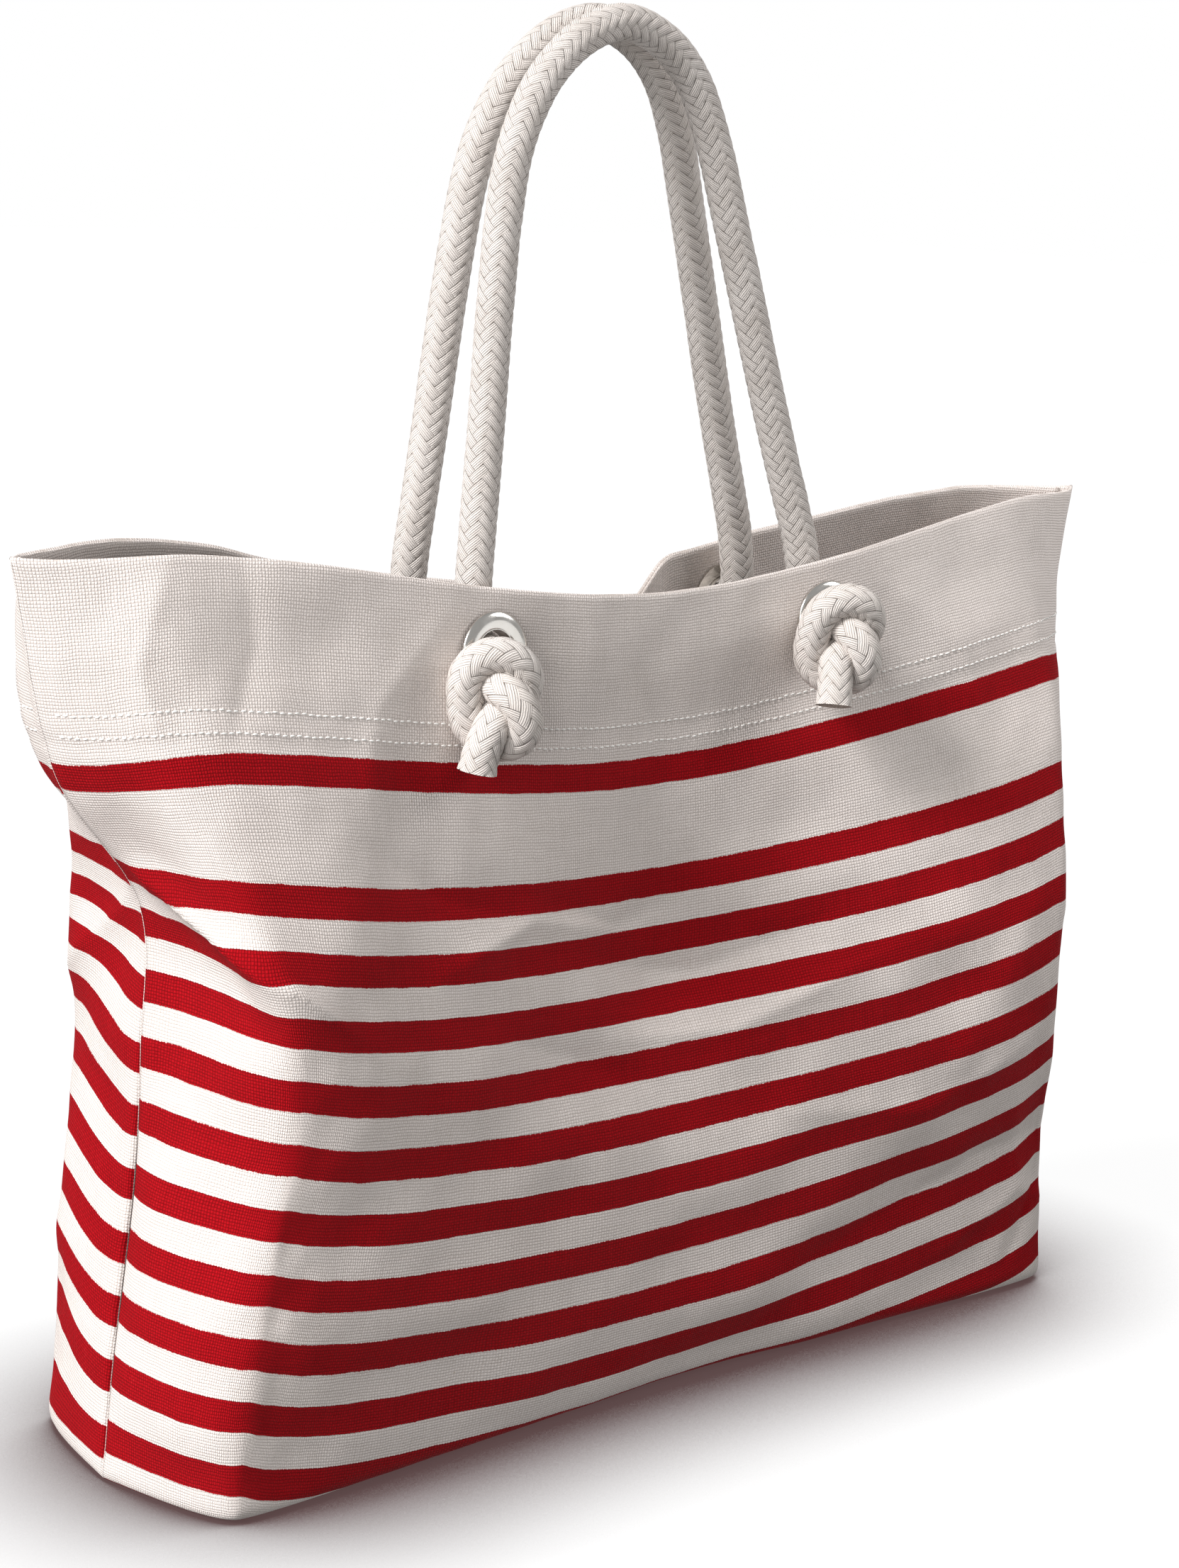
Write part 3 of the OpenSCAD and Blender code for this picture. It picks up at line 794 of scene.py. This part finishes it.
def strip(name, line, across, width, thick, look, wave=0.0, seed=0):
    """A bound seam edge: a flat band with round edges along a line, wide along across."""
    line = np.asarray(line, float)
    n = len(line)
    tangents = np.gradient(line, axis=0)
    tangents /= np.linalg.norm(tangents, axis=1)[:, None]
    across = np.broadcast_to(np.asarray(across, float), line.shape)
    across = across - (across * tangents).sum(1)[:, None] * tangents
    across /= np.linalg.norm(across, axis=1)[:, None]
    up = np.cross(tangents, across)
    sides = 14
    angle = np.linspace(0, 2 * math.pi, sides, endpoint=False)
    wide = np.sign(np.cos(angle)) * np.abs(np.cos(angle)) ** 0.45 * width / 2
    tall = np.sign(np.sin(angle)) * np.abs(np.sin(angle)) ** 0.8 * thick / 2
    reach = np.concatenate([[0], np.cumsum(np.linalg.norm(np.diff(line, axis=0), axis=1))])
    ripple = wave * lattice_noise(reach / 14, np.full(n, 0.5), seed)
    points, uv, faces = [], [], []
    for i in range(n):
        for q in range(sides):
            points.append(line[i] + across[i] * wide[q] + up[i] * (tall[q] + ripple[i]))
            uv.append((wide[q] + (tall[q] > 0) * 2 * width, reach[i]))
    for i in range(n - 1):
        for q in range(sides):
            a, b = i * sides + q, i * sides + (q + 1) % sides
            faces.append([a, b, b + sides, a + sides])
    faces.append(list(range(sides))[::-1])
    faces.append([(n - 1) * sides + q for q in range(sides)])
    piece = new_mesh(name, points, faces)
    write_uv(piece, "cloth", np.array(uv) * MM)
    piece.data.materials.append(look)
    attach(piece, "root")
    return piece


BINDING_W, BINDING_T = 10, 2.4
BINDING_INSET = 9.5
CORNER_BINDING_W = 7
CORNER_INSET, CORNER_LIFT = 7.2, 4.2
BOTTOM_LIFT = 1.7


def make_seams(look):
    for side, sign in (("left", -1), ("right", 1)):
        k = np.linspace(0.05, 0.985, 90)
        line = panel_point(np.full(90, float(sign)), k)
        line[:, 0] -= sign * BINDING_INSET
        line[:, 1] = 0
        piece = strip(f"{side}_seam_binding", line, (1, 0, 0), BINDING_W, BINDING_T, look, 0.5, 40 + sign)
        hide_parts(f"{side}_side_seam")

        u = np.linspace(0.78, 1, 24)
        half = panel_point(sign * u, np.zeros(24))
        line = np.concatenate([half, mirrored(half)[::-1][1:]])
        line[:, 0] -= sign * CORNER_INSET
        line[:, 1] *= 0.95
        line[:, 2] = CANVAS_T + CORNER_LIFT
        piece = strip(f"{side}_corner_binding", line, (0, 0, 1), CORNER_BINDING_W, BINDING_T, look, 0.2,
                      50 + sign)
        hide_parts(f"{side}_corner_seam")
    reach = BASE_TAPER * SEAM_X[0] - 10
    x = np.linspace(-reach, reach, 90)
    line = np.stack([x, np.zeros(90), np.full(90, CANVAS_T + BOTTOM_LIFT)], -1)
    piece = strip("bottom_seam_binding", line, (0, 1, 0), BINDING_W, BINDING_T, look, 0.2, 60)
    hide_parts("bottom_seam")


# ---------------------------------------------------------------- rope

# Route of a handle from its left foot to its right foot, as (x, share of the height), as in CAD
HANDLE_ROUTE = [(-88, 0), (-82, 0.26), (-77, 0.5), (-72, 0.68), (-66, 0.79), (-54, 0.89), (-36, 0.965),
                (-15, 1), (5, 0.975), (21, 0.91), (32, 0.81), (41, 0.68), (53, 0.5), (69, 0.26), (88, 0)]
ELBOW_R = 10
ROPE_STEP = 0.62
ROPE_SIDES = 72
BRAID_SUNK, BRAID_H = 0.5, 0.6
LUMP_H = 0.16
FLARE, FLARE_LENGTH = 0.35, 3
# The cut end's rings, from its rim in: (share of the radius, how far out)
CAP_RINGS = ((0.86, 0.25), (0.45, 0.1), (0.0, -0.4))


def handle_line():
    """Centreline of the front handle's loop, from the left foot up and over to the right foot."""
    spots = np.arange(len(HANDLE_ROUTE))
    k = np.linspace(0, len(HANDLE_ROUTE) - 1, 120)
    x = smooth(spots, [p[0] for p in HANDLE_ROUTE], k)
    share = smooth(spots, [p[1] for p in HANDLE_ROUTE], k)
    foot = HINGE_Z - ROPE_R
    lean = -(ROPE_R + HANDLE_GAP / 2)
    return np.stack([x, ROPE_Y + (lean - ROPE_Y) * share, foot + (HANDLE_TOP - foot) * share], -1)


def elbow_line():
    """From the back of the left eyelet's hole up to the handle's left foot."""
    x, y, z = -EYELET_POINT[0], EYELET_POINT[1], EYELET_POINT[2]
    angle = np.radians(np.linspace(0, 90, 7))
    bend = np.stack([np.full(7, x), ROPE_Y - ELBOW_R + ELBOW_R * np.sin(angle),
                     z + ELBOW_R - ELBOW_R * np.cos(angle)], -1)
    return np.concatenate([[[x, y, z]], bend])


def even(line, step):
    """The line again, rounded off and with points a step apart."""
    line = np.asarray(line, float)
    reach = np.concatenate([[0], np.cumsum(np.linalg.norm(np.diff(line, axis=0), axis=1))])
    count = int(reach[-1] / step) + 1
    at = np.linspace(0, reach[-1], count)
    return np.stack([smooth(reach, line[:, i], at) for i in range(3)], -1)


def carried_frames(line):
    """Unit vectors across a line that turn with it and never spin about it."""
    tangents = np.gradient(line, axis=0)
    tangents /= np.linalg.norm(tangents, axis=1)[:, None]
    side = np.cross(tangents[0], [0.3, 0.9, 0.2])
    side /= np.linalg.norm(side)
    sides = []
    for t in tangents:
        side = side - t * (side @ t)
        side = side / np.linalg.norm(side)
        sides.append(side)
    sides = np.array(sides)
    return tangents, sides, np.cross(tangents, sides)


def braid_height(turn, run):
    """Height of the braid's surface, 0 in its gaps and 1 on its crowns."""
    a, b = turn + run, turn - run
    first_over = np.mod(np.floor(a) + np.floor(b), 4) < 2
    side = np.where(first_over, a, b)
    across = 2 * np.abs(side - np.floor(side) - 0.5)
    crown = np.sqrt(np.clip(1 - across ** 3, 0, 1))
    down = np.where(first_over, np.mod(np.floor(a) + b, 4) / 2, np.mod(a + np.floor(b), 4) / 2 - 1)
    arch = np.sin(np.pi * np.clip(down, 0, 1)) ** 0.5
    return crown * (0.5 + 0.5 * arch)


def make_rope(name, line, looks, seed):
    """A braided rope along a centreline, with both ends cut square."""
    n = len(line)
    tangents, side, other = carried_frames(line)
    reach = np.concatenate([[0], np.cumsum(np.linalg.norm(np.diff(line, axis=0), axis=1))])
    angle = np.linspace(0, 2 * math.pi, ROPE_SIDES + 1)
    turn = np.broadcast_to(angle / (2 * math.pi) * BRAID_BANDS, (n, ROPE_SIDES + 1))
    run = np.broadcast_to((reach / BRAID_PITCH)[:, None], turn.shape)
    height = braid_height(turn + 1e-6, run)
    lumps = lattice_noise(run * 0.5, turn * 0.5, seed) * LUMP_H
    radius = ROPE_R - BRAID_SUNK + BRAID_H * height + lumps * np.sin(angle / 2) ** 2
    flare = np.clip(1 - np.minimum(reach, reach[-1] - reach) / FLARE_LENGTH, 0, 1)[:, None]
    radius = radius + FLARE * flare
    points = (line[:, None] + radius[..., None] * (np.cos(angle)[None, :, None] * side[:, None]
                                                   + np.sin(angle)[None, :, None] * other[:, None]))
    flat = points[:, :-1].reshape(-1, 3)
    faces, uv = [], []
    for i in range(n - 1):
        for q in range(ROPE_SIDES):
            r = (q + 1) % ROPE_SIDES
            faces.append([i * ROPE_SIDES + q, (i + 1) * ROPE_SIDES + q, (i + 1) * ROPE_SIDES + r,
                          i * ROPE_SIDES + r])
            uv += [(q, i), (q, i + 1), (q + 1, i + 1), (q + 1, i)]
    side_faces = len(faces)
    caps, cap_points = [], []
    for end, ring, out in ((0, 0, -1), (n - 1, (n - 1) * ROPE_SIDES, 1)):
        last = [ring + q for q in range(ROPE_SIDES)]
        for share, push in CAP_RINGS:
            count = ROPE_SIDES if share else 1
            first = len(flat) + len(cap_points)
            rim = points[end, :-1] if share else points[end, :1]
            cap_points += list(line[end] + share * (rim - line[end]) + out * push * tangents[end])
            for q in range(ROPE_SIDES):
                r = (q + 1) % ROPE_SIDES
                new = [first + q, first + r] if share else [first]
                face = [last[q], *new, last[r]]
                caps.append(face if out < 0 else face[::-1])
            last = [first + q for q in range(count)]
    flat = np.concatenate([flat, np.array(cap_points)])
    piece = new_mesh(name, flat, faces + caps)
    uv = np.array(uv, float)
    uv = np.stack([uv[:, 0] / ROPE_SIDES, reach[uv[:, 1].astype(int)] * MM], -1)
    layer = piece.data.uv_layers.new(name="rope")
    padded = np.zeros((len(piece.data.loops), 2))
    padded[:len(uv)] = uv
    layer.data.foreach_set("uv", padded.ravel())
    piece.data.materials.append(looks["rope"])
    piece.data.materials.append(looks["rope_end"])
    piece.data.polygons.foreach_set("material_index", [0] * side_faces + [1] * len(caps))
    return piece


# Overhand knots, each as (right, up, out) in mm about the middle of the knot's ring, from the front left.
# From the cut end, the rope goes under the band, round the ring, behind the tail, over itself and inwards.
LEFT_KNOT = [(-5.5, -36, 4), (-5, -26, 6), (-4.5, -17, 5), (-1.5, -10, 0), (5, -6.5, -6), (11.5, -3, -6),
             (13.5, 4, -2), (9, 10.5, 3), (0, 13, 5), (-9, 9.5, 4), (-13, 0.5, 2), (-11.5, -9, -2),
             (-5, -18, -7), (4, -22.5, -8), (12, -22, -4), (14, -14, 3), (10, -5, 7), (4, 1, 4),
             (0, 6, -5), (-2, 9.5, -12)]
RIGHT_KNOT = [(-1.5, -34, 8), (-1, -24, 9), (-1, -14, 7), (0.5, -6, 1), (5, -3, -5), (11, -1, -6),
              (13.5, 5, -2), (9, 11, 3), (0, 12.5, 5), (-9.5, 8, 4), (-13, -1.5, 2), (-11.5, -10.5, -2),
              (-5, -17.5, -7), (4, -18.5, -8), (11, -16, -4), (13, -9, 2), (10.5, -2.5, 5), (6, 2, 2),
              (1, 6.5, -5), (-2, 9.5, -12)]
LEFT_RING = (-11.5, -13.8, -9.8)
RIGHT_RING = (-10.5, -16.2, -2.5)
KNOT_TURN, KNOT_TILT = math.radians(-42), math.radians(12)
KNOT_TIGHTNESS = 0.84
KNOT_STEP = 2
KNOT_ROUNDS = 200
KNOT_CLEAR = 0.6
# Two turns touch at this share of the rope's thickness, since cotton gives
TOUCHING = 0.82
PUSH, MOST_PUSH = 0.12, 0.6
STRAIGHTEN = 0.1
NECK_LENGTH = 9
SMOOTHING = 6


def knot_line(keys, ring, eyelet):
    """A tied end outside an eyelet, from the cut end in to the eyelet's hole."""
    right = np.array([math.cos(KNOT_TURN), math.sin(KNOT_TURN), 0])
    out = np.array([math.sin(KNOT_TURN) * math.cos(KNOT_TILT), -math.cos(KNOT_TURN) * math.cos(KNOT_TILT),
                    math.sin(KNOT_TILT)])
    up = np.cross(out, right)
    tied = KNOT_TIGHTNESS * np.array(keys) @ np.stack([right, up, out]) + eyelet + np.array(ring)
    neck = eyelet + np.array([[0, -4, 0], [0, 0, 0]])
    return settle(even(np.concatenate([tied, neck]), KNOT_STEP), eyelet[1] - ROPE_R - KNOT_CLEAR)


def settle(line, resting_y):
    """Pushes a tied rope's turns apart until they only touch, and off the canvas behind them."""
    apart = TOUCHING * ROPE_D
    neighbours = int(math.pi / 2 * apart / KNOT_STEP) + 1
    for _ in range(KNOT_ROUNDS):
        i, j = np.triu_indices(len(line), neighbours)
        between = line[j] - line[i]
        far = np.linalg.norm(between, axis=1)
        close = far < apart
        push = (PUSH * (apart / far[close] - 1))[:, None] * between[close]
        move = np.zeros_like(line)
        np.add.at(move, i[close], -push)
        np.add.at(move, j[close], push)
        line[:-1] += np.clip(move, -MOST_PUSH, MOST_PUSH)[:-1]
        line[1:-1] += STRAIGHTEN * ((line[:-2] + line[2:]) / 2 - line[1:-1])
        outside = np.linalg.norm(line - line[-1], axis=1) > NECK_LENGTH
        line[:, 1] -= 0.5 * np.clip(line[:, 1] - resting_y, 0, None) * outside
        line = even(line, KNOT_STEP)
    return line


def make_handle(side, looks):
    eyelet = np.array(EYELET_POINT)
    flip_x = np.array([-1, 1, 1])
    left = np.concatenate([knot_line(LEFT_KNOT, LEFT_RING, eyelet * flip_x), elbow_line()[1:]])
    right = left * flip_x
    if side == "front":
        right = np.concatenate([knot_line(RIGHT_KNOT, RIGHT_RING, eyelet), elbow_line()[1:] * flip_x])
    loop = handle_line()
    clear = (loop[:, 2] > HINGE_Z + 2) & (np.arange(len(loop)) > 1) & (np.arange(len(loop)) < len(loop) - 2)
    line = np.concatenate([left, loop[clear], right[::-1]])
    line = even(line, KNOT_STEP)
    for _ in range(SMOOTHING):
        line[1:-1] += 0.25 * (line[:-2] + line[2:] - 2 * line[1:-1])
    line = even(line, ROPE_STEP)
    body, flip = "front_loop", 1
    if side == "back":
        line = mirrored(line)
        body, flip = "back_loop", -1
    rope = make_rope(f"{side}_rope", line, looks, 70 + flip)
    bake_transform(rope)
    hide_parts(f"{side}_handle", f"{side}_left_knot", f"{side}_right_knot")


# ---------------------------------------------------------------- metal

def finish_metal(look):
    for node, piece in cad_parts.items():
        if node.endswith("_eyelet") or node.endswith("_washer"):
            piece.data.materials.clear()
            piece.data.materials.append(look)
            piece.data.polygons.foreach_set("use_smooth", [True] * len(piece.data.polygons))


# ---------------------------------------------------------------- floor and light

def floor_look():
    """Pale paper, bright mostly by its own glow, with a painted contact shadow: its colour and glow darken
    close to what stands on it.
    """
    material, g, out = shader("floor_paper", Roughness=1.0, Specular_IOR_Level=0.0, Emission_Strength=0.92)
    painted_shadow_ao = g.node("ShaderNodeAmbientOcclusion", samples=8)
    painted_shadow_ao.inputs["Distance"].default_value = 0.10
    # Painted contact shadow: the colour and the glow darken where the occlusion finds something close
    painted_contact_shadow = g.remap(painted_shadow_ao.outputs["AO"], 0.5, 0.97, 0.0, 1.0)
    g.put(out.inputs["Base Color"], g.mix(painted_contact_shadow, (0.03, 0.02, 0.02), (0.10, 0.10, 0.10)))
    g.put(out.inputs["Emission Color"], g.mix(painted_contact_shadow, (0.10, 0.06, 0.06), (1.0, 1.0, 1.0)))
    return material


def make_studio():
    reach = 9000
    floor = new_mesh("floor", [(-reach, -reach, -0.3), (reach, -reach, -0.3), (reach, reach, -0.3),
                               (-reach, reach, -0.3)], [[0, 1, 2, 3]], False)
    floor.data.materials.append(floor_look())
    # The floor's glow is for the camera: the bag is lit by the lamps and the surround
    floor.visible_diffuse = False
    floor.visible_shadow = False
    make_world(seen=1.0, fill=0.27, mirrored_fill=0.4)
    add_sun("key", (0.78, -0.01, -0.62), 4.6, 22)
    add_light("soft_left", (-0.7, -0.4, 0.35), (-0.27, -0.05, 0.27), 0.35, 0.35, 1.7)
    add_light("soft_right", (0.72, -0.42, 0.8), (0.22, 0, 0.3), 0.4, 0.4, 3.9)
    bpy.context.scene.view_settings.view_transform = "Standard"


def make_world(seen, fill, mirrored_fill):
    """A white surround, with separate brightness as seen, as light on the bag and as mirrored in metal."""
    world = bpy.data.worlds.new("studio")
    world.use_nodes = True
    g = Graph(world.node_tree)
    background = world.node_tree.nodes["Background"]
    background.inputs["Color"].default_value = (1, 1, 1, 1)
    path = g.node("ShaderNodeLightPath")
    given = g.remap(path.outputs["Is Glossy Ray"], 0.0, 1.0, fill, mirrored_fill)
    g.put(background.inputs["Strength"], g.remap(path.outputs["Is Camera Ray"], 0.0, 1.0, given, seen))
    bpy.context.scene.world = world


def add_sun(name, travel, strength, soft_degrees):
    data = bpy.data.lights.new(name, "SUN")
    data.energy = strength
    data.angle = math.radians(soft_degrees)
    sun = bpy.data.objects.new(name, data)
    sun.rotation_euler = Vector(travel).to_track_quat("-Z", "Y").to_euler()
    bpy.context.scene.collection.objects.link(sun)


def add_light(name, place, aim, wide, tall, watts):
    data = bpy.data.lights.new(name, "AREA")
    data.shape = "RECTANGLE"
    data.size, data.size_y = wide, tall
    data.energy = watts
    light = bpy.data.objects.new(name, data)
    light.location = place
    light.rotation_euler = (Vector(aim) - Vector(place)).to_track_quat("-Z", "Y").to_euler()
    bpy.context.scene.collection.objects.link(light)


# ---------------------------------------------------------------- the scene

make_camera()
LOOKS = {
    "striped": canvas_look("striped_canvas_print", True),
    "plain": canvas_look("plain_canvas_cloth", False),
    "thread": thread_look(),
    "rope": rope_look(),
    "rope_end": cut_rope_look(),
    "nickel": nickel_look(),
}
make_handle("front", LOOKS)
make_handle("back", LOOKS)
make_half("front", FRONT_FOLDS, 3, LOOKS)
make_half("back", BACK_FOLDS, 23, LOOKS)
make_seams(LOOKS["plain"])
finish_metal(LOOKS["nickel"])
make_studio()
